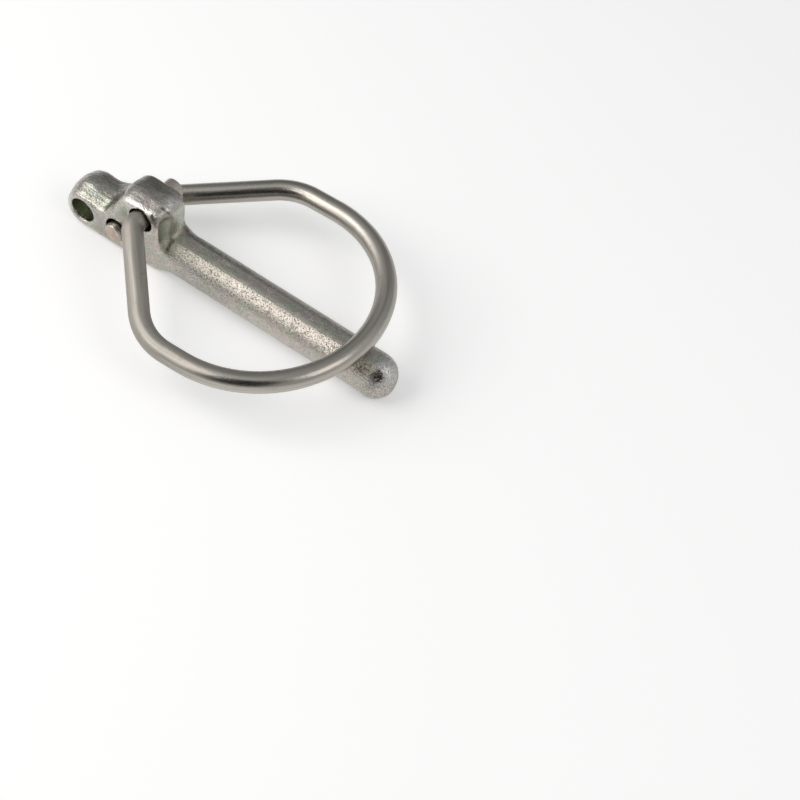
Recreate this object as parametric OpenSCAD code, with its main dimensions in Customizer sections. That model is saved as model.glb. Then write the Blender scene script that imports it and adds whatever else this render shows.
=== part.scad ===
// Wire lock pin: a forged pin with a round shank and a flat-sided head,
// and a spring wire ring that swings on two offset cross holes in the head.
// Lying as it rests: the shank along X, its tip towards +X, the ring on top.
// The origin is on the shank's axis, at the shoulder where the head ends.

/* [Shank] */

// Diameter of the round shank
shank_d = 11; // [8:0.1:14]

// Straight length of the shank, from the shoulder to the round tip
shank_l = 57.5; // [50:0.5:75]

/* [Head] */

// Thickness of the head between its two flat sides
head_w = 11; // [10:0.1:14]

// Length of the taper from the head's square front to the round shank
shoulder_l = 2.9; // [2:0.1:5]

// Rounding of the head's long edges
edge_r = 1.9; // [1:0.1:2.4]

// Depth of the upright groove in the front of the hump
groove_depth = 1.1; // [0.4:0.1:1.4]

// Radius of the upright groove in the front of the hump
groove_r = 2.4; // [1.8:0.1:2.8]

// Distance from the head's middle to the groove, towards its near side
groove_side = 3.4; // [2.8:0.1:3.8]

// Lean of the groove towards the head's near side at its top
groove_lean = 7; // [0:1:10]

// Lean of the groove towards the shank at its foot
groove_run = 8; // [0:1:12]

// Radius of the upright lip beside the groove
lip_r = 0.7; // [0.5:0.1:1.2]

// How far the hump's ridge stands out from its rounded edges
draft_rise = 0.6; // [0.2:0.05:0.8]

// Width of the level ridge along the head's outline
ridge_w = 2.4; // [0.4:0.1:3]

// Thickness of the metal over the upper hole
hump_wall = 1.35; // [1:0.05:3]

// Fillet between the hump's front and the shank
root_r = 1.3; // [0.8:0.1:2.4]

// Radius of the hump's front top corner
hump_front_r = 2.9; // [2.4:0.1:4]

// Radius of the hump's back top corner
hump_back_r = 3.8; // [2.6:0.1:4.5]

// Distance from the hump's front face to its back top corner
hump_l = 13.4; // [12.5:0.1:14.5]

// Distance from the hump's front face to the foot of its back slope
hump_foot_l = 17.2; // [16:0.1:19]

// Radius of the hollow between the hump's back slope and the tail
valley_r = 6.5; // [4:0.5:9]

/* [Chain eye] */

// Radius of the rounded tail end
eye_r = 6; // [5.2:0.1:6.5]

// How far the tail's ridge stands out from its rounded upper edges
tail_rise = 1.1; // [0.4:0.05:1.3]

// Distance from the shoulder back to the chain hole
eye_back = 27; // [25:0.1:32]

// Radius of the chain hole
chain_hole_r = 3.4; // [2:0.1:3.6]

// Bevel of the chain hole's two mouths
chain_bevel = 0.3; // [0.1:0.05:0.5]

/* [Ring holes] */

// Clearance around the wire in its holes
wire_clear = 0.75; // [0.3:0.05:0.9]

// How far the upper wire lies towards the tail in its hole
wire_shift = 0.3; // [0:0.05:0.6]

// Distance from the shoulder back to the upper hole
upper_back = 8.8; // [8:0.1:9.6]

// Height of the upper hole above the shank's axis
upper_rise = 10.3; // [9.6:0.1:10.6]

// Distance from the shoulder back to the lower hole
lower_back = 16.15; // [15.5:0.05:18]

// Height of the lower hole above the shank's axis
lower_rise = 1.3; // [0:0.1:1.6]

/* [Wire ring] */

// Diameter of the spring wire
wire_d = 5.2; // [4:0.1:5.4]

// Radius of the ring's round end, at the wire's centre
ring_r = 29.7; // [24:0.1:34]

// Distance from the start of the tip back to where the ring lies on the shank
ring_back = 4.5; // [0:0.1:10]

// Angle by which the ring leans down towards the head
ring_dip = 3.2; // [2:0.1:5]

// Length of the ring's sides, from the round end to the corner points
side_l = 11.8; // [9:0.1:15]

// Bend radius of the ring's two corners
corner_r = 16; // [10:0.5:18]

// Bend radius where the wire turns into the head
turn_r = 3.4; // [3:0.1:4.4]

// Distance from the head's near side to where the wire turns in
near_out = 2.4; // [2.2:0.1:4]

// Distance from the head's far side to where the wire turns in
far_out = 3.2; // [2.4:0.1:4]

// How far the wire's upper end stands out of the head
upper_end = 2.8; // [1:0.1:5]

// How far the wire's lower end stands out of the head
lower_end = 1.4; // [0.5:0.1:4]

/* [Hidden] */

shank_r = shank_d / 2;
half_w = head_w / 2;
wire_r = wire_d / 2;
hole_r = wire_r + wire_clear;
hump_top = upper_rise + hole_r + hump_wall;
rest_gap = 0.03;
lap = 0.05;
lap_rise = 0.008;
front_x = -shoulder_l;
base_z = shank_r - edge_r;
back_x = front_x - hump_l;
foot_x = front_x - hump_foot_l;
upper = [-upper_back, 0, upper_rise];
lower = [-lower_back, 0, lower_rise];
eye = [-eye_back, 0, eye_r - shank_r];
tail_drop = tail_rise / 2;
upper_wire = upper - [wire_shift, 0, 0];
over = 1;

// the ring's lying plane: a point behind where it crosses the shank
cross_x = shank_l - ring_back;
cross_z = shank_r + wire_r + rest_gap;
function on_ring(back, side) = [
  cross_x - back * cos(ring_dip),
  side,
  cross_z - back * sin(ring_dip)
];

near_top = on_ring(ring_r, -ring_r);
far_top = on_ring(ring_r, ring_r);
near_corner = on_ring(ring_r + side_l, -ring_r);
far_corner = on_ring(ring_r + side_l, ring_r);
near_turn = upper_wire + [0, -half_w - near_out, 0];
far_turn = lower + [0, half_w + far_out, 0];
near_tip = lower + [0, -half_w - lower_end, 0];
far_tip = upper_wire + [0, half_w + upper_end, 0];

// helpers for a wire that runs straight between rounded corners
function unit(v) = v / norm(v);
function bend_angle(a, v, b) = acos(unit(v - a) * unit(b - v));
function bend_run(a, v, b, r) = r * tan(bend_angle(a, v, b) / 2);
function bend_in(a, v, b, r) = v + unit(a - v) * bend_run(a, v, b, r);
function bend_out(a, v, b, r) = v + unit(b - v) * bend_run(a, v, b, r);
function bend_mid(a, v, b, r) =
  v + unit(unit(a - v) + unit(b - v)) * (r / cos(bend_angle(a, v, b) / 2));

// a straight run laps a little into the bends at its ends
module straight_wire(p, q, end_lap = lap) {
  run = q - p;
  translate(p - unit(run) * lap)
    rotate([0, acos(run[2] / norm(run)), atan2(run[1], run[0])])
      cylinder(h = norm(run) + lap + end_lap, r = wire_r + lap_rise, $fn = 48);
}

module bent_wire(a, v, b, r) {
  mid = bend_mid(a, v, b, r);
  start = unit(bend_in(a, v, b, r) - mid);
  up = unit(cross(start, unit(v - a)));
  lean = acos(up[2]);
  turn = atan2(up[1], up[0]);
  first = [cos(lean) * cos(turn), cos(lean) * sin(turn), -sin(lean)];
  second = [-sin(turn), cos(turn), 0];
  translate(mid)
    rotate([0, lean, turn])
      rotate([0, 0, atan2(start * second, start * first)])
        rotate_extrude(angle = bend_angle(a, v, b), $fn = 96)
          translate([r, 0])
            circle(r = wire_r, $fn = 48);
}

// one round-edged disc of the head's outline; rise is its parting line
module outline_disc(x, z, r, rise) {
  translate([x, 0, z])
    rotate([90, 0, 0]) {
      cylinder(h = ridge_w, r = r + rise, center = true, $fn = 32);
      for (s = [-1, 1])
        translate([0, 0, s * (half_w - edge_r)])
          rotate_extrude($fn = 32)
            intersection() {
              translate([r - edge_r, 0])
                circle(r = edge_r, $fn = 24);
              translate([0, -edge_r])
                square([r, 2 * edge_r]);
            }
    }
}

// flat-sided block with the hump that carries the upper hole
module hump_block() {
  hull() {
    outline_disc(front_x - hump_front_r, hump_top - draft_rise - hump_front_r,
      hump_front_r, draft_rise);
    outline_disc(back_x + hump_back_r, hump_top - draft_rise - hump_back_r,
      hump_back_r, draft_rise);
    outline_disc(foot_x + edge_r, base_z, edge_r, draft_rise);
    outline_disc(foot_x + edge_r, -base_z, edge_r, 0);
    outline_disc(front_x - edge_r, -base_z, edge_r, 0);
    outline_disc(front_x - edge_r, base_z, edge_r, draft_rise);
  }
}

// tail with the rounded eye for a chain
module tail() {
  hull() {
    translate(eye)
      rotate([90, 0, 0])
        cylinder(h = ridge_w, r = eye_r, center = true, $fn = 48);
    outline_disc(eye[0], eye[2] - tail_drop, eye_r - tail_drop, 0);
    outline_disc(foot_x + 2 * edge_r, base_z - tail_rise, edge_r, tail_rise);
    outline_disc(foot_x + 2 * edge_r, -base_z, edge_r, 0);
  }
}

// line that touches two discs on its left side, as its angle
function line_angle(a, ra, b, rb) =
  atan2(b[1] - a[1], b[0] - a[0]) + asin((rb - ra) / norm(b - a));

// rounded hollow that joins the hump's back slope to the tail
module valley() {
  eye_disc = [eye[0], eye[2] - tail_drop];
  tail_disc = [foot_x + 2 * edge_r, base_z - tail_rise];
  foot_disc = [foot_x + edge_r, base_z];
  top_disc = [back_x + hump_back_r, hump_top - draft_rise - hump_back_r];
  low = line_angle(eye_disc, eye_r - tail_drop, tail_disc, edge_r);
  steep = line_angle(foot_disc, edge_r, top_disc, hump_back_r);
  n1 = [-sin(low), cos(low)];
  n2 = [-sin(steep), cos(steep)];
  k1 = valley_r - rest_gap + eye_r - tail_drop + n1 * eye_disc;
  k2 = valley_r - rest_gap + edge_r + n2 * foot_disc;
  det = n1[0] * n2[1] - n1[1] * n2[0];
  deep = valley_r + 3;
  translate([(k1 * n2[1] - k2 * n1[1]) / det, 0, (n1[0] * k2 - n2[0] * k1) / det])
    rotate([90, 90 - low, 0])
      rotate_extrude(angle = steep - low, $fn = 96)
        polygon([
          for (a = [-90:15:0])
            [valley_r + edge_r * (1 - cos(a)), edge_r * sin(a) + edge_r - half_w],
          [valley_r - draft_rise / 2, -ridge_w / 2],
          [valley_r - draft_rise / 2, ridge_w / 2],
          for (a = [0:15:90])
            [valley_r + edge_r * (1 - cos(a)), edge_r * sin(a) - edge_r + half_w],
          [deep, half_w],
          [deep, -half_w]
        ]);
}

// taper from the head's square front to the round shank
module shoulder() {
  hull() {
    for (s = [-1, 1])
      outline_disc(front_x - edge_r, s * base_z, edge_r, 0);
    translate([-0.6, 0, 0])
      rotate([0, 90, 0])
        cylinder(h = 0.6, r = shank_r, $fn = 48);
  }
}

// hollow fillet at the foot of the hump's front
module root_fillet() {
  intersection() {
    translate([front_x - over, 0, 0])
      rotate([0, 90, 0])
        rotate_extrude($fn = 96)
          difference() {
            square([shank_r + root_r, root_r + over]);
            translate([shank_r + root_r, root_r + over])
              circle(r = root_r, $fn = 48);
          }
    translate([front_x - over, -half_w, 0])
      cube([root_r + over, head_w - edge_r, shank_r + root_r + over]);
  }
}

// upright groove in the front of the hump, with a round upper end
module front_groove() {
  translate([front_x - groove_depth + groove_r, -groove_side, upper_rise + 1])
    rotate([-groove_lean, -groove_run, 0]) {
      sphere(r = groove_r, $fn = 64);
      mirror([0, 0, 1])
        cylinder(h = upper_rise - 1, r = groove_r, $fn = 64);
    }
}

// fuller corner of the hump's front on the groove's near side
module near_lip() {
  rise = hump_top - draft_rise - hump_front_r - base_z + over;
  translate([front_x - 2 * edge_r, -half_w, base_z - over])
    cube([2 * edge_r - lip_r, 2 * lip_r, rise]);
  translate([front_x - lip_r, lip_r - half_w, base_z - over])
    cylinder(h = rise, r = lip_r, $fn = 48);
  translate([front_x - 2 * edge_r, lip_r - half_w, base_z - over])
    cube([2 * edge_r, edge_r - lip_r, rise]);
}

module shank() {
  translate([front_x - edge_r, 0, 0])
    rotate([0, 90, 0])
      cylinder(h = shank_l - front_x + edge_r, r = shank_r, $fn = 96);
  translate([shank_l, 0, 0])
    sphere(r = shank_r, $fn = 96);
}

module cross_hole(at, r) {
  translate(at)
    rotate([90, 0, 0])
      cylinder(h = head_w + 2 * over, r = r, center = true, $fn = 64);
}

module chain_hole() {
  cross_hole(eye, chain_hole_r);
  for (s = [-1, 1])
    translate(eye + [0, s * (half_w - chain_bevel), 0])
      rotate([-90 * s, 0, 0])
        cylinder(h = chain_bevel + over, r1 = chain_hole_r,
          r2 = chain_hole_r + chain_bevel + over, $fn = 64);
}

module pin_body() {
  color([0.62, 0.62, 0.57])
    difference() {
      union() {
        difference() {
          union() {
            hump_block();
            near_lip();
            root_fillet();
          }
          front_groove();
        }
        tail();
        valley();
        shoulder();
        shank();
      }
      cross_hole(upper, hole_r);
      cross_hole(lower, hole_r);
      chain_hole();
    }
}

module round_end() {
  translate(on_ring(ring_r, 0))
    rotate([0, -ring_dip, 0])
      rotate([0, 0, -90])
        rotate_extrude(angle = 180, $fn = 128)
          translate([ring_r, 0])
            circle(r = wire_r, $fn = 48);
}

module ring_leg(top, corner, turn, tip) {
  straight_wire(top, bend_in(top, corner, turn, corner_r));
  bent_wire(top, corner, turn, corner_r);
  straight_wire(bend_out(top, corner, turn, corner_r),
    bend_in(corner, turn, tip, turn_r));
  bent_wire(corner, turn, tip, turn_r);
  straight_wire(bend_out(corner, turn, tip, turn_r), tip, 0);
}

module wire_ring() {
  color([0.52, 0.50, 0.46])
    union() {
      round_end();
      ring_leg(near_top, near_corner, near_turn, far_tip);
      ring_leg(far_top, far_corner, far_turn, near_tip);
    }
}

pin_body();
wire_ring();
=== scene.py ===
import math

import bmesh
import bpy
import numpy as np
from mathutils import Matrix, Vector, noise


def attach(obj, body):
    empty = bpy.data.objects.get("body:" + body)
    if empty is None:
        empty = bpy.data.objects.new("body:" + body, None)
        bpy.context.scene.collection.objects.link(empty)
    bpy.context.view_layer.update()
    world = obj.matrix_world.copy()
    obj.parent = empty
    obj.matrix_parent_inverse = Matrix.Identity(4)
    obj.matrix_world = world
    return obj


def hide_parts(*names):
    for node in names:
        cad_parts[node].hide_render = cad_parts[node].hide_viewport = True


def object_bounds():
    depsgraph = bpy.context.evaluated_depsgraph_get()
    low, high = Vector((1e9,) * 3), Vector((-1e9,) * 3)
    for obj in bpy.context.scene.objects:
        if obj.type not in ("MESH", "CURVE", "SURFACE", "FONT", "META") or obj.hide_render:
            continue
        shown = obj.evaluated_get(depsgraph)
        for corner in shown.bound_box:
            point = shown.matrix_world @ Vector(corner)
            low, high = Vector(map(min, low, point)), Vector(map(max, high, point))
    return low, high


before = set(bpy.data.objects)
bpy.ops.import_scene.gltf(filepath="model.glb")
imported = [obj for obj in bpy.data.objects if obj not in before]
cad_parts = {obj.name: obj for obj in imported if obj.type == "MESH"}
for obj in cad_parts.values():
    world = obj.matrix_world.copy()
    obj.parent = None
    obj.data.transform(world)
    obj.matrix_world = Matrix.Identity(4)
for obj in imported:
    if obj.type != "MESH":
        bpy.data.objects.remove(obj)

cad_low, cad_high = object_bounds()
MM = 0.001

# Sizes of the pin in millimetres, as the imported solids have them.
SHANK_R = 5.5
SHANK_L = 57.5
HALF_W = 5.5
UPPER_HOLE = (-8.8, 10.3)
LOWER_HOLE = (-16.15, 1.3)
CHAIN_HOLE = (-27.0, 0.5)
RING_HOLE_R = 3.35
CHAIN_HOLE_R = 3.4
WIRE_R = 2.6
CREASE_Y = -1.5
BEVEL_TILT = 25.0


# Shader recipe
class Value:
    """One shader socket. Arithmetic on it adds the Math nodes."""

    def __init__(self, recipe, socket):
        self.recipe = recipe
        self.socket = socket

    def _math(self, operation, first, second):
        return self.recipe.node("ShaderNodeMath", {"operation": operation}, {0: first, 1: second})

    def __add__(self, other):
        return self._math("ADD", self, other)

    def __sub__(self, other):
        return self._math("SUBTRACT", self, other)

    def __rsub__(self, other):
        return self._math("SUBTRACT", other, self)

    def __mul__(self, other):
        return self._math("MULTIPLY", self, other)

    __radd__ = __add__
    __rmul__ = __mul__

    def over(self, low, high):
        """0 below low, 1 above high, and a soft step between them."""
        return self.recipe.node(
            "ShaderNodeMapRange", {"interpolation_type": "SMOOTHSTEP"},
            {"Value": self, "From Min": low, "From Max": high})


class Recipe:
    """The nodes of one material, or of the world."""

    def __init__(self, owner):
        owner.use_nodes = True
        self.owner = owner
        self.tree = owner.node_tree
        self.tree.nodes.clear()

    def node(self, kind, settings=None, inputs=None, out=0):
        made = self.tree.nodes.new(kind)
        for name, value in (settings or {}).items():
            if name == "stops":
                ramp = made.color_ramp
                while len(ramp.elements) < len(value):
                    ramp.elements.new(1.0)
                for stop, (place, colour) in zip(ramp.elements, value):
                    stop.position = place
                    stop.color = (*colour, 1.0)
            else:
                setattr(made, name, value)
        for name, value in (inputs or {}).items():
            if isinstance(value, Value):
                self.tree.links.new(value.socket, made.inputs[name])
            else:
                made.inputs[name].default_value = value
        return Value(self, made.outputs[out])

    def place(self):
        return self.node("ShaderNodeTexCoord", out="Object")

    def painted(self, name, out="Fac"):
        return self.node("ShaderNodeAttribute", {"attribute_name": name}, out=out)

    def stretched(self, vector, scale):
        return self.node("ShaderNodeMapping", {"vector_type": "POINT"}, {"Vector": vector, "Scale": scale})

    def cloud(self, vector, size_mm, detail=3.0, rough=0.55):
        return self.node("ShaderNodeTexNoise", {}, {
            "Vector": vector, "Scale": 1000.0 / size_mm, "Detail": detail, "Roughness": rough})

    def pebbles(self, vector, size_mm):
        """Distance from the middle of the nearest cell, in cells."""
        return self.node("ShaderNodeTexVoronoi", {}, {"Vector": vector, "Scale": 1000.0 / size_mm})

    def ramp(self, value, stops):
        return self.node("ShaderNodeValToRGB", {"stops": stops}, {"Fac": value})

    def blend(self, mask, first, second, kind="MIX"):
        made = self.node("ShaderNodeMix", {"data_type": "RGBA", "blend_type": kind}, {}, out=2)
        node = made.socket.node
        for index, value in ((0, mask), (6, first), (7, second)):
            if isinstance(value, Value):
                self.tree.links.new(value.socket, node.inputs[index])
            elif index:
                node.inputs[index].default_value = (*value, 1.0)
            else:
                node.inputs[index].default_value = value
        return made

    def bump(self, height, depth_mm, under=None):
        inputs = {"Height": height, "Distance": depth_mm * MM, "Strength": 1.0}
        if under is not None:
            inputs["Normal"] = under
        return self.node("ShaderNodeBump", {}, inputs)

    def surface(self, shader, end="ShaderNodeOutputMaterial"):
        made = self.tree.nodes.new(end)
        self.tree.links.new(shader.socket, made.inputs["Surface"])
        return self.owner


# Finishes
def plated_forging_finish():
    r = Recipe(bpy.data.materials.new("zinc_plated_forging"))
    here = r.place()
    patches = r.cloud(here, 6.0, 2.0)
    drift = r.cloud(r.stretched(here, (0.6, 1.3, 1.0)), 3.6, 3.0)
    mottle = r.cloud(here, 1.7, 4.0)
    grain = r.cloud(here, 0.31, 1.5, 0.60)
    pebble = r.pebbles(here, 0.62)
    drawn = r.cloud(r.stretched(here, (0.10, 1.0, 1.0)), 0.55, 2.0)
    fine = r.cloud(here, 0.22, 2.0, 0.5)
    worn = r.painted("worn_edge")
    rough_hide = 0.34 + r.painted("pebbled") * 0.66
    drag = r.painted("dragged")

    grey = r.blend(mottle.over(0.36, 0.64), (0.350, 0.343, 0.313), (0.500, 0.478, 0.440))
    tint = r.ramp(patches, [
        (0.32, (0.305, 0.385, 0.345)), (0.44, (0.395, 0.425, 0.315)),
        (0.56, (0.505, 0.405, 0.385)), (0.70, (0.365, 0.390, 0.430))])
    blush = r.ramp(drift, [
        (0.35, (0.340, 0.400, 0.310)), (0.50, (0.430, 0.405, 0.365)), (0.65, (0.515, 0.400, 0.410))])
    colour = r.blend(0.68, grey, r.blend(0.5, tint, blush))
    colour = r.blend(worn.over(0.1, 0.9) * 0.5, colour, (0.62, 0.585, 0.54))
    colour = r.blend(r.painted("tone_share"), colour, r.painted("tone", "Color"))
    colour = r.blend(grain.over(0.51, 0.64) * rough_hide * 0.72, colour, (0.12, 0.105, 0.075))
    colour = r.blend((1 - pebble.over(0.18, 0.42)) * rough_hide * 0.55, colour, (0.14, 0.11, 0.075))
    colour = r.blend((1 - grain).over(0.54, 0.66) * (0.12 + rough_hide * 0.4), colour, (0.74, 0.715, 0.675))
    colour = r.blend(drawn.over(0.52, 0.64) * drag * 0.45, colour, (0.15, 0.145, 0.12))
    shine = 0.15 + mottle.over(0.3, 0.7) * 0.08 + grain * 0.10 + r.painted("dullness") * 0.3

    skin = r.bump(mottle, 0.07)
    skin = r.bump(pebble.over(0.08, 0.42) * rough_hide, 0.05, skin)
    skin = r.bump(grain * rough_hide, 0.19, skin)
    skin = r.bump(drawn * drag, 0.09, skin)
    skin = r.bump(fine, 0.05, skin)
    return r.surface(r.node("ShaderNodeBsdfPrincipled", {}, {
        "Base Color": colour, "Metallic": 1.0, "Roughness": shine, "Normal": skin}))


def spring_wire_finish():
    r = Recipe(bpy.data.materials.new("drawn_spring_wire"))
    run = r.painted("wire_run", "Vector")
    draw = r.cloud(r.stretched(run, (0.03, 1.0, 1.0)), 0.9, 3.0)
    fine = r.cloud(r.stretched(run, (0.05, 1.0, 1.0)), 0.3, 2.0)
    patches = r.cloud(run, 11.0, 2.0)
    specks = r.cloud(run, 1.1, 3.0)
    colour = r.blend(draw.over(0.35, 0.65), (0.360, 0.340, 0.300), (0.485, 0.460, 0.415))
    colour = r.blend(patches.over(0.4, 0.65) * 0.5, colour, (0.43, 0.385, 0.345))
    colour = r.blend(specks.over(0.60, 0.75) * 0.35, colour, (0.25, 0.22, 0.18))
    colour = r.blend(r.painted("fresh_end") * 0.7, colour, (0.50, 0.44, 0.39))
    satin = r.painted("fresh_end") * 0.12 + r.painted("satin") * 0.27
    shine = 0.155 + fine * 0.14 + patches * 0.08 + satin
    skin = r.bump(draw, 0.035)
    skin = r.bump(fine, 0.012, skin)
    skin = r.bump(specks, 0.02, skin)
    return r.surface(r.node("ShaderNodeBsdfPrincipled", {}, {
        "Base Color": colour, "Metallic": 1.0, "Roughness": shine, "Normal": skin}))


def sawn_end_finish():
    r = Recipe(bpy.data.materials.new("bare_wire_end"))
    here = r.place()
    lines = r.cloud(r.stretched(here, (1.0, 1.0, 0.15)), 0.35, 2.0)
    patches = r.cloud(here, 1.6, 2.0)
    colour = r.blend(patches.over(0.35, 0.65), (0.48, 0.39, 0.325), (0.60, 0.50, 0.43))
    return r.surface(r.node("ShaderNodeBsdfPrincipled", {}, {
        "Base Color": colour, "Metallic": 0.85, "Roughness": 0.42 + lines * 0.15,
        "Normal": r.bump(lines, 0.03)}))


def pale_floor_finish():
    r = Recipe(bpy.data.materials.new("pale_studio_floor"))
    paths = r.tree.nodes.new("ShaderNodeLightPath")
    seen = Value(r, paths.outputs["Is Camera Ray"]) + Value(r, paths.outputs["Is Glossy Ray"])
    seen = seen + Value(r, paths.outputs["Is Transmission Ray"])
    cloth = r.node("ShaderNodeBsdfDiffuse", {}, {"Color": (0.86, 0.86, 0.86, 1.0)})
    lift = r.node("ShaderNodeEmission", {}, {"Color": (1.0, 1.0, 1.0, 1.0), "Strength": seen * 0.30})
    return r.surface(r.node("ShaderNodeAddShader", {}, {0: cloth, 1: lift}))


# Helpers
def new_piece(name, mesh, finishes, body):
    piece = bpy.data.objects.new(name, mesh)
    bpy.context.scene.collection.objects.link(piece)
    for finish in finishes:
        mesh.materials.append(finish)
    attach(piece, body)
    return piece


def paint(mesh, name, values, kind="FLOAT"):
    layer = mesh.attributes.new(name, kind, "POINT")
    field = {"FLOAT": "value", "FLOAT_VECTOR": "vector", "FLOAT_COLOR": "color"}[kind]
    layer.data.foreach_set(field, np.asarray(values, np.float32).ravel())


def step(low, high, value):
    t = np.clip((value - low) / (high - low), 0.0, 1.0)
    return t * t * (3.0 - 2.0 * t)


def lumps(points, size, seed):
    """Smooth noise from -1 to 1 at points in millimetres."""
    shift = Vector((seed * 17.3, seed * 5.1, seed * 9.7))
    return np.array([noise.noise(Vector(p) / size + shift) for p in points])


def near_line(points, start, end, reach):
    """1 on the line from start to end, fading over the reach around it."""
    start = np.array(start)
    run = np.array(end) - start
    share = np.clip((points - start) @ run / max(run @ run, 1e-9), 0.0, 1.0)
    gap = np.linalg.norm(points - start - share[:, None] * run, axis=1)
    return np.exp(-(gap / reach) ** 2)


# Forged pin body
class Skin:
    """The CAD solid's surface as one even net of small faces, in millimetres."""

    def __init__(self, node, voxel_mm):
        self.mesh = self.even(node, voxel_mm)
        self.points = self.read("vertices", "co", 3) / MM
        self.ends = self.read("edges", "vertices", 2, np.int64).T
        self.count = np.maximum(np.bincount(self.ends.ravel(), minlength=len(self.points)), 1)

    @staticmethod
    def even(node, voxel_mm):
        mesh = node.data.copy()
        net = bmesh.new()
        net.from_mesh(mesh)
        bmesh.ops.remove_doubles(net, verts=net.verts, dist=2e-6)
        net.to_mesh(mesh)
        net.free()
        carrier = bpy.data.objects.new("skin_carrier", mesh)
        bpy.context.scene.collection.objects.link(carrier)
        voxels = carrier.modifiers.new("even_skin", "REMESH")
        voxels.mode = "VOXEL"
        voxels.voxel_size = voxel_mm * MM
        voxels.adaptivity = 0.0
        depsgraph = bpy.context.evaluated_depsgraph_get()
        even = bpy.data.meshes.new_from_object(carrier.evaluated_get(depsgraph))
        bpy.data.objects.remove(carrier)
        bpy.data.meshes.remove(mesh)
        return even

    def read(self, group, field, width, kind=np.float64):
        items = getattr(self.mesh, group)
        values = np.empty(len(items) * width, kind)
        items.foreach_get(field, values)
        return values.reshape(-1, width)

    def around(self, values):
        """The mean of each point's neighbours."""
        flat = values.reshape(len(values), -1)
        mean = np.stack([np.bincount(self.ends[0], column[self.ends[1]], len(flat))
                         + np.bincount(self.ends[1], column[self.ends[0]], len(flat))
                         for column in flat.T], 1) / self.count[:, None]
        return mean.reshape(values.shape)

    def relax(self, mask, rounds):
        for _ in range(rounds):
            self.points = self.points + (self.around(self.points) - self.points) * (0.5 * mask)[:, None]

    def settle(self):
        """Write the points to the mesh and return its normals."""
        self.mesh.vertices.foreach_set("co", (self.points * MM).ravel())
        self.mesh.update()
        return self.read("vertices", "normal", 3)


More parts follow.
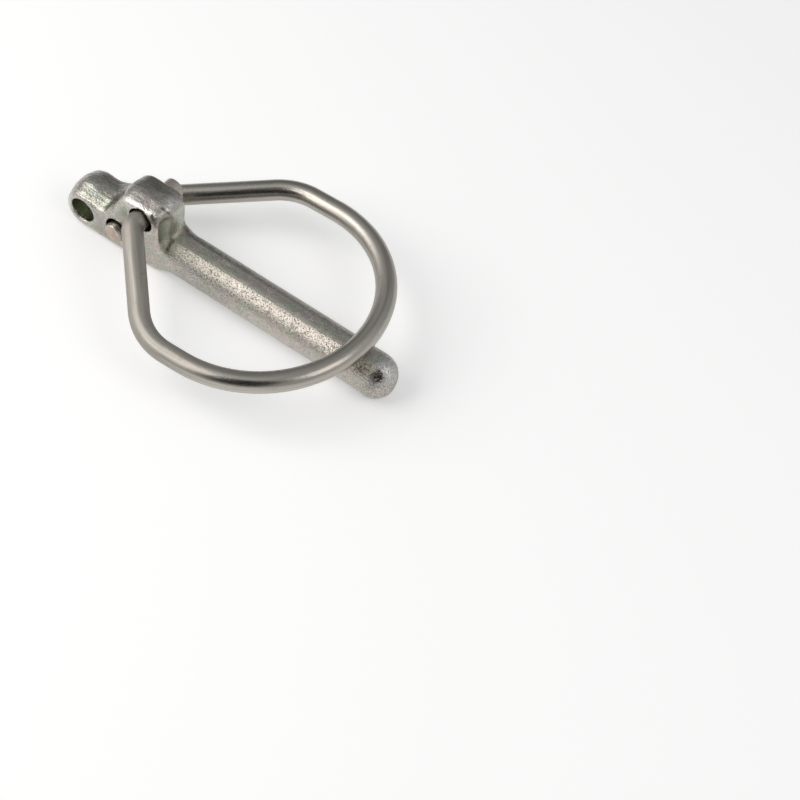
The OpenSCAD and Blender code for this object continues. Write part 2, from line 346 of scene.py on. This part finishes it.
def forged_body():
    skin = Skin(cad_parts["pin_body"], 0.27)
    x, y, z = skin.points.T

    def hole_gap(at, radius):
        return np.hypot(x - at[0], z - at[1]) - radius

    ring_holes = np.minimum(hole_gap(UPPER_HOLE, RING_HOLE_R), hole_gap(LOWER_HOLE, RING_HOLE_R))
    chain_hole = hole_gap(CHAIN_HOLE, CHAIN_HOLE_R)
    holes = np.minimum(ring_holes, chain_hole)
    inside = (holes < 0.35) & (np.abs(y) < HALF_W - 0.2)
    rim = np.clip(1.0 - np.abs(holes) / 0.8, 0.0, 1.0)
    past_mouth = 1.0 - step(HALF_W - 2.2, HALF_W - 0.4, np.abs(y))
    in_chain_hole = (chain_hole < 0.3) * past_mouth
    # painted shade: the ring holes' bores past the mouths are painted nearly black further down
    shaded_ring_bores = (ring_holes < 0.3) * past_mouth

    # the die leaves every corner soft: most at the valley, the root and the crown
    valley = np.exp(-((x + 20.2) ** 2 + (z - 5.5) ** 2) / 12.0)
    root = np.exp(-((x + 2.6) ** 2 + (np.hypot(y, z) - 6.0) ** 2) / 5.0)
    shoulder = np.exp(-((x + 1.2) / 2.6) ** 2) * (z < 4.0)
    crown = step(-1.0, -4.0, x) * step(3.2, 4.6, z) * step(0.3, 1.2, holes)
    skin.relax(np.where(inside, 0.25, 1.0), 5)
    soften = np.clip(valley + root + shoulder + 0.15 * crown, 0.0, 1.0) * np.where(rim > 0.2, 0.2, 1.0)
    skin.relax(np.where(inside, 0.0, soften), 40)
    normals = skin.settle()
    points = skin.points
    x, y, z = points.T

    # flats that the trimmed die leaves along the shank: one on top, one beside it
    angle = np.degrees(np.arctan2(y, z))
    on_shank = step(-1.0, 2.5, x) * (1.0 - step(SHANK_L - 2.0, SHANK_L + 2.0, x))
    waver = 1.6 * lumps(np.stack([x, 0.0 * x, 0.0 * x], 1), 6.0, 7)
    flats = np.zeros(len(points))
    for middle, half in ((-2.0 + waver, 15.5), (-31.5 + waver, 13.5)):
        off = np.radians(np.clip(np.abs(angle - middle), 0.0, half))
        flat = SHANK_R - SHANK_R * math.cos(math.radians(half)) / np.cos(off)
        flats = np.maximum(flats, flat * (np.abs(angle - middle) < half))

    # the tail's crown has a flat top with a crisp crease to the bevel on the near side
    bins = np.arange(-33.0, -17.9, 0.3)
    on_top = (np.abs(y) < 1.0) & (z > 0.0)
    place = np.digitize(x, bins)
    ridge = np.array([z[on_top & (place == k)].max(initial=0.0) for k in range(1, len(bins))])
    crown_z = np.interp(x, bins[:-1] + 0.15, ridge)
    bevel = z - crown_z + np.maximum(CREASE_Y - y, 0.0) * math.tan(math.radians(BEVEL_TILT))
    bevel = np.clip(bevel, 0.0, 0.45) * normals[:, 2] * (y < CREASE_Y) * (normals[:, 2] > 0.3)
    bevel = bevel * (1.0 - step(-20.5, -19.0, x)) * step(-32.5, -31.0, x)

    # hammer dents and the hide of the die, held inside the solid's own box
    broad = lumps(points, 6.5, 1)
    middle = lumps(points, 2.2, 2)
    small = lumps(points, 0.95, 3)
    depth = 0.16 * (0.5 + 0.5 * broad) + 0.10 * (0.5 + 0.5 * middle) + 0.06 * (0.5 + 0.5 * small)
    depth = (depth - 0.14) * (1.0 - 0.6 * on_shank) + flats * on_shank
    near_side = step(-4.2, -5.0, y)
    front = step(-5.0, -3.4, x)
    recess = near_side * np.exp(-((x + 13.8) / 1.5) ** 2 - ((z - 8.6) / 2.4) ** 2)
    crease = near_line(points, (-4.9, -1.9, 14.7), (-3.05, -1.5, 13.5), 0.26)
    arc = near_line(points, (-3.05, -1.5, 13.5), (-2.6, -1.3, 10.8), 0.3)
    arc = np.maximum(arc, near_line(points, (-2.6, -1.3, 10.8), (-2.2, -1.6, 5.6), 0.3))
    # a notch by the upper hole's front wall; further down it is also painted nearly black, as painted shade
    shaded_notch = near_line(points, (-5.4, -4.9, 14.0), (-4.5, -5.3, 12.9), 0.45)
    # a pit in the corner at the foot of the front face; further down it is also painted nearly black, as
    # painted shade
    shaded_pit = near_line(points, (-1.8, -2.1, 5.4), (-1.4, -4.4, 4.0), 0.5)
    slag = np.exp(-((x - 59.9) ** 2 + (y + 2.85) ** 2 + (z - 4.0) ** 2) / 2.1)
    slag = np.clip(slag * (1.9 + 2.0 * lumps(points, 0.6, 5)) - 0.15, 0.0, 1.0)
    scale = near_line(points, (54.6, -3.3, 4.3), (57.0, -3.0, 4.6), 1.25)
    scale = scale * step(-0.45, 0.35, lumps(points, 0.6, 8))
    full_end = step(0.35, 0.9, normals @ np.array((0.45, -0.64, -0.62)))
    full_end = full_end * step(SHANK_L - 2.5, SHANK_L + 1.5, x)
    depth = depth + 0.35 * recess + 0.22 * crease + 0.30 * shaded_notch + 0.35 * shaded_pit + 0.12 * slag
    saddle = np.exp(-((x + 20.6) / 2.6) ** 2) * step(-1.5, 3.5, y) * step(0.1, 0.5, normals[:, 2])
    far_edge = step(0.12, 0.45, normals[:, 1]) * step(0.1, 0.4, normals[:, 2]) * step(-3.0, -5.0, x)
    depth = depth + bevel - 0.40 * full_end - 0.65 * saddle - 0.22 * far_edge
    skin.points = np.clip(points - normals * np.where(inside, 0.02, depth)[:, None],
                          points.min(0) + 0.001, points.max(0) - 0.001)

    # worn on ridges: where the finished skin bulges
    bulge = -np.sum((skin.around(skin.points) - skin.points) * normals, 1)
    for _ in range(3):
        bulge = 0.5 * bulge + 0.5 * skin.around(bulge)
    paint(skin.mesh, "worn_edge", np.clip(bulge / 0.007, 0.0, 1.0))

    # tones laid over the plating one after another, painted shade, highlights and reflections among them:
    # where, how much and which colour
    groove = front * step(-0.2, -1.4, y) * (1.0 - step(-4.4, -5.4, y)) * (z > 3.6) * (z < 14.0)
    lip = near_side * step(-5.6, -4.8, x) * (x < -1.8) * step(3.0, 4.5, z) * (1.0 - step(12.0, 13.5, z))
    # painted highlight: a pale band across the fillet at the foot of the hump's front face
    fillet_highlight = near_line(points, (-1.95, -1.3, 5.5), (-1.7, 2.1, 5.4), 0.6)
    # painted shade: faces turned to the far side and upwards, on the head and along the shank, are darkened,
    # a little less where the head meets the shank
    shoulder = step(0.18, 0.48, normals[:, 1]) * step(0.0, 0.3, normals[:, 2])
    shoulder = shoulder * (1.0 - 0.22 * step(-3.0, 3.0, x))
    # the bright band along the top flat of the shank: partly worn bare metal, partly a painted highlight
    # where the soft box reflects, weaker near the head
    worn_and_lit_flat = (0.88 + 0.22 * lumps(points, 1.6, 6)) * near_line(
        points, (2.0, -2.9, 4.7), (57.0, -2.9, 4.7), 1.7)
    worn_and_lit_flat = worn_and_lit_flat * (0.62 + 0.38 * step(10.0, 20.0, x))
    # painted highlight: a pale patch on the upper front corner of the hump
    brow_highlight = np.exp(-((x + 4.6) / 1.3) ** 2 - ((y - 1.5) / 2.0) ** 2) * (z > 11.0)
    # painted shade: the far side of the hump's top is darkened
    far_top_shade = near_line(points, (-15.5, 2.2, 13.5), (-10.5, 2.8, 14.8), 2.2) * step(0.3, 0.7, normals[:, 2])
    cheek = near_side * np.exp(-((x + 19.5) / 4.0) ** 2 - ((z + 1.5) / 3.0) ** 2)
    rim_light = near_side * np.exp(-((x + 31.3) / 1.0) ** 2 - ((z + 0.3) / 2.6) ** 2)
    tail_side = near_side * np.exp(-((x + 23.5) / 2.5) ** 2 - ((z - 2.6) / 2.2) ** 2)
    # painted highlight: a pale band along the near top edge of the hump
    hump_edge_highlight = near_line(points, (-14.2, -4.6, 13.5), (-6.2, -4.7, 14.0), 0.75)
    end_spark = near_line(points, (60.9, -0.3, 4.3), (60.5, -1.2, 4.4), 1.2)
    end_blue = near_line(points, (56.2, 0.4, 5.5), (58.4, -0.2, 5.4), 1.3)
    front_moss = front * step(-1.0, 0.6, y) * step(6.0, 7.5, z) * (1.0 - step(12.0, 13.5, z))
    # painted reflection: the lower near side of the shank is lightened as if lit from the floor
    low_floor_reflection = on_shank * step(-62.0, -78.0, angle) * step(-125.0, -105.0, angle)
    # painted shade: the lower near side of the shank is darkened next to the head
    low_shade_by_head = on_shank * (1.0 - step(-60.0, -45.0, angle)) * step(-150.0, -120.0, angle)
    low_shade_by_head = low_shade_by_head * (1.0 - step(12.0, 24.0, x))
    end_blush = step(SHANK_L - 4.0, SHANK_L + 1.0, x) * step(0.55, 0.9, normals @ np.array((0.75, 0.4, -0.5)))
    end_shine = step(SHANK_L - 0.5, SHANK_L + 2.0, x) * step(0.1, 0.6, normals[:, 2])
    tone = np.tile((0.35, 0.35, 0.32), (len(points), 1))
    share = np.zeros(len(points))
    for where, much, colour in (
            (groove, 0.7, (0.35, 0.375, 0.30)), (lip, 0.55, (0.46, 0.385, 0.335)),
            (shoulder, 0.78, (0.165, 0.152, 0.132)), (worn_and_lit_flat, 0.95, (0.97, 0.875, 0.795)),
            (far_top_shade, 0.62, (0.155, 0.15, 0.13)), (brow_highlight, 0.8, (0.80, 0.775, 0.78)),
            (cheek, 0.4, (0.27, 0.275, 0.235)),
            (recess, 0.7, (0.235, 0.285, 0.20)), (fillet_highlight, 0.85, (0.62, 0.575, 0.43)),
            (arc, 0.4, (0.16, 0.165, 0.13)), (crease, 0.85, (0.10, 0.09, 0.08)),
            (shaded_notch, 0.85, (0.13, 0.14, 0.145)), (shaded_pit, 0.95, (0.11, 0.075, 0.045)),
            (end_shine, 0.5, (0.66, 0.645, 0.635)), (end_blush, 0.5, (0.46, 0.36, 0.33)),
            (end_spark, 0.8, (0.92, 0.90, 0.88)), (end_blue, 0.55, (0.50, 0.54, 0.56)),
            (front_moss, 0.45, (0.46, 0.53, 0.43)), (low_floor_reflection, 0.35, (0.68, 0.63, 0.57)),
            (low_shade_by_head, 0.55, (0.34, 0.333, 0.295)),
            (rim_light, 0.8, (0.74, 0.78, 0.70)),
            (tail_side, 0.4, (0.32, 0.335, 0.315)), (hump_edge_highlight, 0.6, (0.92, 0.905, 0.86)),
            (scale, 0.8, (0.17, 0.155, 0.075)), (slag, 1.0, (0.015, 0.014, 0.013)),
            (shaded_ring_bores, 0.75, (0.085, 0.10, 0.06)),
            (in_chain_hole * (0.7 + 0.7 * small), 0.85, (0.25, 0.33, 0.15))):
        laid = np.clip(where * much, 0.0, 1.0)
        whole = laid + share * (1.0 - laid)
        pull = np.where(whole > 0.0, laid / np.maximum(whole, 1e-6), 0.0)[:, None]
        tone = tone * (1.0 - pull) + np.array(colour) * pull
        share = whole
    paint(skin.mesh, "tone", np.concatenate([tone, np.ones((len(tone), 1))], 1), "FLOAT_COLOR")
    paint(skin.mesh, "tone_share", share)
    bright_flat = on_shank * step(-64.0, -44.0, angle) * (1.0 - step(-19.5, -16.5, angle))
    tip = step(SHANK_L - 1.0, SHANK_L + 1.5, x)
    paint(skin.mesh, "pebbled", np.clip(
        bright_flat + 0.7 * tip + 0.15 * on_shank + 0.3 * step(0.0, 0.5, lumps(points, 3.0, 9)), 0.0, 1.0))
    paint(skin.mesh, "dragged", step(0.45, 0.75, normals[:, 2]) * step(-2.5, -4.5, x))
    paint(skin.mesh, "dullness", np.clip(
        slag + shaded_pit + 0.8 * groove + 0.4 * tip + 0.5 * (shaded_ring_bores + in_chain_hole), 0.0, 1.0))

    skin.settle()
    skin.mesh.polygons.foreach_set("use_smooth", [True] * len(skin.mesh.polygons))
    skin.mesh.materials.clear()
    piece = new_piece("forged_pin_body", skin.mesh, [plated_forging_finish()], "pin")
    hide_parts("pin_body")
    return piece


# Wire ring: its sizes in millimetres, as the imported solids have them
RING_R = 29.7
RING_BACK = 4.5
RING_DIP = math.radians(3.2)
SIDE_L = 11.8
CORNER_R = 16.0
TURN_R = 3.4
NEAR_OUT = 2.4
FAR_OUT = 3.2
UPPER_END = 2.8
LOWER_END = 1.4
WIRE_SHIFT = 0.3
CROSS = Vector((SHANK_L - RING_BACK, 0.0, SHANK_R + WIRE_R + 0.03))
WIRE_SIDES = 56


def on_ring(back, side):
    return CROSS + Vector((-back * math.cos(RING_DIP), side, -back * math.sin(RING_DIP)))


def rounded(points, radii, spacing):
    """A line through points with its corners rounded, as points a spacing apart."""
    line = [points[0]]

    def run_to(end):
        start = line[-1]
        count = max(1, math.ceil((end - start).length / spacing))
        line.extend(start.lerp(end, k / count) for k in range(1, count + 1))

    for before, corner, after, radius in zip(points, points[1:], points[2:], radii):
        back = (before - corner).normalized()
        ahead = (after - corner).normalized()
        turn = math.pi - back.angle(ahead)
        cut = radius * math.tan(turn / 2.0)
        first = corner + back * cut
        middle = corner + (back + ahead).normalized() * (radius / math.cos(turn / 2.0))
        run_to(first)
        axis = (first - middle).cross(-back).normalized()
        steps = max(2, math.ceil(radius * turn / spacing))
        line.extend(middle + Matrix.Rotation(turn * k / steps, 3, axis) @ (first - middle)
                    for k in range(1, steps + 1))
    run_to(points[-1])
    return line


def ring_line():
    upper = Vector((UPPER_HOLE[0] - WIRE_SHIFT, 0.0, UPPER_HOLE[1]))
    lower = Vector((LOWER_HOLE[0], 0.0, LOWER_HOLE[1]))
    side = Vector((0.0, 1.0, 0.0))
    near = [upper + side * (HALF_W + UPPER_END), upper - side * (HALF_W + NEAR_OUT),
            on_ring(RING_R + SIDE_L, -RING_R), on_ring(RING_R, -RING_R)]
    far = [on_ring(RING_R, RING_R), on_ring(RING_R + SIDE_L, RING_R),
           lower + side * (HALF_W + FAR_OUT), lower - side * (HALF_W + LOWER_END)]
    line = rounded(near, (TURN_R, CORNER_R), 0.45)
    count = math.ceil(math.pi * RING_R / 0.6)
    middle = on_ring(RING_R, 0.0)
    ahead = CROSS - middle
    line.extend(middle + ahead * math.sin(math.pi * k / count) - side * RING_R * math.cos(math.pi * k / count)
                for k in range(1, count))
    line.extend(rounded(far, (CORNER_R, TURN_R), 0.45))
    return [p for k, p in enumerate(line) if k == 0 or (p - line[k - 1]).length > 1e-4]


def wire_ring():
    line = ring_line()
    stations = []
    run = 0.0
    lift = Vector((0.0, 0.0, 1.0))
    for k, point in enumerate(line):
        ahead = (line[min(k + 1, len(line) - 1)] - line[max(k - 1, 0)]).normalized()
        lift = (lift - ahead * lift.dot(ahead)).normalized()
        if k:
            run += (point - line[k - 1]).length
        stations.append((point, ahead, lift.copy(), run))

    net = bmesh.new()
    runs = []
    rings = []

    def circle(station, inset, radius):
        point, ahead, lift, run = station
        across = ahead.cross(lift)
        made = []
        for k in range(WIRE_SIDES):
            a = 2.0 * math.pi * k / WIRE_SIDES
            spoke = lift * math.cos(a) + across * math.sin(a)
            made.append(net.verts.new((point + ahead * inset + spoke * radius) * MM))
            runs.append(((run + inset) * MM, WIRE_R * math.cos(a) * MM, WIRE_R * math.sin(a) * MM))
        rings.append(made)

    # each cut end has a small burred bevel
    bevel = ((0.0, 0.22), (0.05, 0.09), (0.16, 0.02))
    for inset, less in bevel:
        circle(stations[0], inset, WIRE_R - less)
    for station in stations:
        if 0.3 < station[3] < run - 0.3:
            circle(station, 0.0, WIRE_R)
    for inset, less in bevel[::-1]:
        circle(stations[-1], -inset, WIRE_R - less)
    for first, second in zip(rings, rings[1:]):
        for k in range(WIRE_SIDES):
            after = (k + 1) % WIRE_SIDES
            face = net.faces.new((first[k], first[after], second[after], second[k]))
            face.smooth = True
    for ring in (rings[0][::-1], rings[-1]):
        cap = net.faces.new(ring)
        inner = bmesh.ops.inset_individual(net, faces=[cap], thickness=0.5 * MM, depth=0.0)
        runs.extend([(0.0, 0.0, 0.0)] * WIRE_SIDES)
        for face in (cap, *inner["faces"]):
            face.material_index = 1
            face.smooth = False
    bmesh.ops.recalc_face_normals(net, faces=net.faces)
    mesh = bpy.data.meshes.new("spring_wire_ring")
    net.to_mesh(mesh)
    net.free()
    runs = np.array(runs)
    paint(mesh, "wire_run", runs, "FLOAT_VECTOR")
    along = runs[:, 0] / MM
    paint(mesh, "fresh_end", 1.0 - step(UPPER_END - 0.4, UPPER_END + 0.8, along))
    satin_leg = step(10.0, 18.0, along) * (1.0 - step(52.0, 72.0, along))
    satin_curve = step(98.0, 118.0, along) * (1.0 - step(140.0, 156.0, along))
    paint(mesh, "satin", satin_leg + 0.42 * satin_curve)
    piece = new_piece("spring_wire_ring", mesh, [spring_wire_finish(), sawn_end_finish()],
                      "ring")
    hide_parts("wire_ring")
    return piece


# Stage
def toward(azimuth, height):
    """The direction at an azimuth from +X and a height over the floor, in degrees."""
    a, h = math.radians(azimuth), math.radians(height)
    return Vector((math.cos(h) * math.cos(a), math.cos(h) * math.sin(a), math.sin(h)))


def studio_floor():
    net = bmesh.new()
    bmesh.ops.create_grid(net, x_segments=1, y_segments=1, size=3.0)
    mesh = bpy.data.meshes.new("studio_floor")
    net.to_mesh(mesh)
    net.free()
    floor = bpy.data.objects.new("studio_floor", mesh)
    floor.location = (0.0, 0.0, cad_low.z - 0.00002)
    mesh.materials.append(pale_floor_finish())
    bpy.context.scene.collection.objects.link(floor)


def soft_box(name, azimuth, height, size, watts, tone):
    light = bpy.data.lights.new(name, "AREA")
    light.shape = "RECTANGLE"
    light.size, light.size_y = size
    light.energy = watts
    light.color = tone
    holder = bpy.data.objects.new(name, light)
    direction = toward(azimuth, height)
    holder.location = Vector((0.015, 0.0, 0.0)) + direction * 0.55
    holder.rotation_euler = direction.to_track_quat("Z", "Y").to_euler()
    bpy.context.scene.collection.objects.link(holder)


def studio_room():
    """Pale walls all round, dimmer at the back, with one dark side at the front."""
    r = Recipe(bpy.data.worlds.new("soft_studio"))
    bpy.context.scene.world = r.owner
    looking = r.node("ShaderNodeTexCoord", out="Generated")

    def side(azimuth, height, outer, inner):
        facing = r.node("ShaderNodeVectorMath", {"operation": "DOT_PRODUCT"},
                        {0: looking, 1: tuple(toward(azimuth, height))}, out="Value")
        return facing.over(math.cos(math.radians(outer)), math.cos(math.radians(inner)))

    walls = r.blend(side(112.0, 8.0, 75.0, 25.0), (0.55, 0.565, 0.57), (0.27, 0.275, 0.28))
    walls = r.blend(side(-77.0, 38.0, 37.0, 25.0), walls, (0.01, 0.01, 0.01))
    r.surface(r.node("ShaderNodeBackground", {}, {"Color": walls, "Strength": 1.0}),
              "ShaderNodeOutputWorld")


def photograph_camera():
    lens = bpy.data.cameras.new("camera")
    lens.lens = 108.899
    lens.sensor_width = 36.0
    lens.clip_start = 0.01
    holder = bpy.data.objects.new("camera", lens)
    right = Vector((0.8079848, 0.5842266, 0.0764186))
    down = Vector((0.5081622, -0.6253215, -0.5922366))
    ahead = Vector((-0.2982142, 0.5173512, -0.8021322))
    turn = Matrix((right, -down, -ahead)).transposed().to_4x4()
    holder.matrix_world = Matrix.Translation(Vector((233.8977, -292.9531, 450.3599)) * MM) @ turn
    bpy.context.scene.collection.objects.link(holder)
    bpy.context.scene.camera = holder


photograph_camera()
studio_room()
studio_floor()
soft_box("soft_box_left", -142.0, 43.0, (0.51, 0.42), 1.7, (1.0, 0.97, 0.945))
soft_box("soft_box_right", 0.0, 45.0, (0.27, 0.27), 0.35, (1.0, 0.985, 0.96))
forged_body()
wire_ring()

bpy.context.scene.view_settings.view_transform = "Standard"
